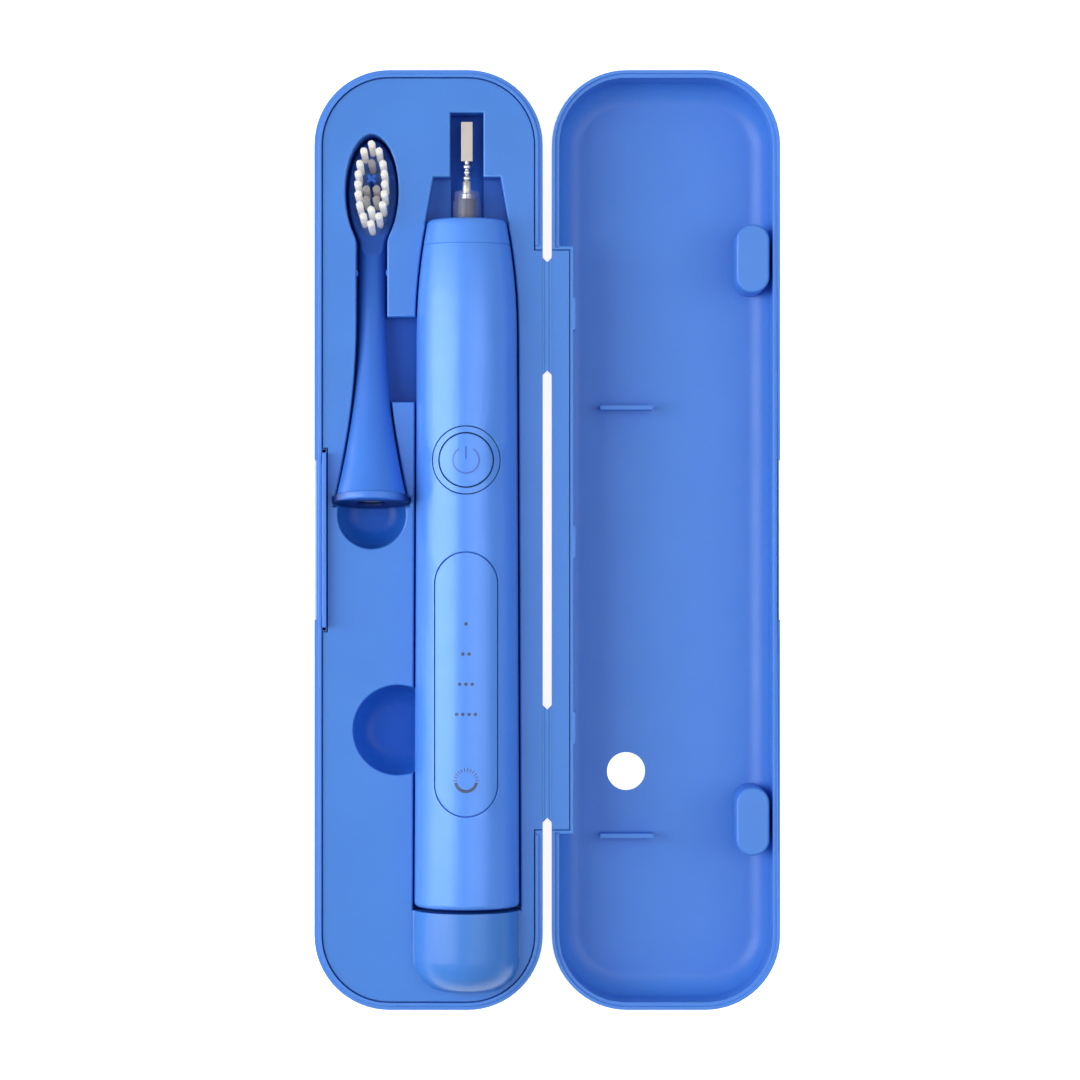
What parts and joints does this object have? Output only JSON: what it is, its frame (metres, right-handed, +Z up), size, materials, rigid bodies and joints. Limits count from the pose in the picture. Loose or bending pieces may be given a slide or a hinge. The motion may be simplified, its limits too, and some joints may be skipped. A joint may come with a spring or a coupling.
{
  "type": "electric toothbrush travel case",
  "caption": "Two-shell travel case for an electric toothbrush, open flat, with the brush handle and a spare head in its moulded tray.",
  "frame": {"origin": "on the hinge line at mid length, in the plane that both halves lie on", "axes": "+Y along the case towards the brush tips, +X from the base half to the lid half, +Z up out of the open case"},
  "size_m": [0.113, 0.228, 0.0307],
  "materials": {
    "case_plastic": "satin",
    "handle_plastic": "satin",
    "panel_plastic": "smooth",
    "head_plastic": "satin",
    "head_rubber": "matte",
    "white_nylon": "soft",
    "grey_nylon": "soft",
    "boot_rubber": "translucent",
    "seal_rubber": "matte",
    "polished_steel": "polished",
    "white_plastic": "matte",
    "clear_guide": "clear",
    "board": "matte",
    "black_plastic": "matte",
    "cell_jacket": "shrink sleeve",
    "copper_wire": "enamelled",
    "bush_bronze": "sintered",
    "ferrite": "matte"
  },
  "bodies": {
    "base": {"base_shell": "case_plastic", "inner_tray": "case_plastic", "hinge_web_upper": "case_plastic", "hinge_web_lower": "case_plastic"},
    "lid": {"lid_shell": "case_plastic", "hinge_leaf": "case_plastic"},
    "handle": {"handle_housing": "handle_plastic", "handle_collar": "handle_plastic", "end_cap": "handle_plastic", "cap_seal": "seal_rubber", "button_ring": "handle_plastic", "indicator_panel": "panel_plastic", "light_guide": "clear_guide", "lights": "clear_guide", "circuit_board": "board", "button_switch": "black_plastic", "board_screws": "polished_steel", "chassis": "white_plastic", "battery_cell": "cell_jacket", "charging_coil": "copper_wire", "coil_core": "ferrite", "motor_can": "polished_steel", "stator_coil": "copper_wire", "shaft_bushes": "bush_bronze", "shaft_boot": "boot_rubber"},
    "button": {"power_button": "handle_plastic", "switch_plunger": "white_plastic"},
    "shaft": {"drive_shaft": "polished_steel", "rotor_magnet": "ferrite"},
    "head": {"head_body": "head_plastic", "head_ring": "head_plastic", "head_socket": "white_plastic", "head_plate": "head_plastic", "white_tufts": "white_nylon", "grey_tufts": "grey_nylon", "cross_tuft": "head_rubber"}
  },
  "joints": [
    {"name": "lid_hinge", "type": "hinge", "parent": "base", "child": "lid", "pos_m": [0, 0, 0.0196], "axis": [0, 1, 0], "range_deg": [-179.9, 0], "deforming": ["hinge_web_upper", "hinge_web_lower"]},
    {"name": "handle_lift", "type": "slide", "parent": "base", "child": "handle", "axis": [0, 0, 1], "range_m": [0, 0.04]},
    {"name": "head_lift", "type": "slide", "parent": "base", "child": "head", "axis": [0, 0, 1], "range_m": [0, 0.04]},
    {"name": "power_button_press", "type": "slide", "parent": "handle", "child": "button", "axis": [0, 0, -1], "range_m": [0, 0.0006], "stiffness_N_per_m": 400, "springref_m": -0.0003},
    {"name": "shaft_swing", "type": "hinge", "parent": "handle", "child": "shaft", "pos_m": [-0.0195, 0.06, 0.018], "axis": [0, 1, 0], "range_deg": [-4, 4], "stiffness_Nm_per_rad": 0.01}
  ]
}
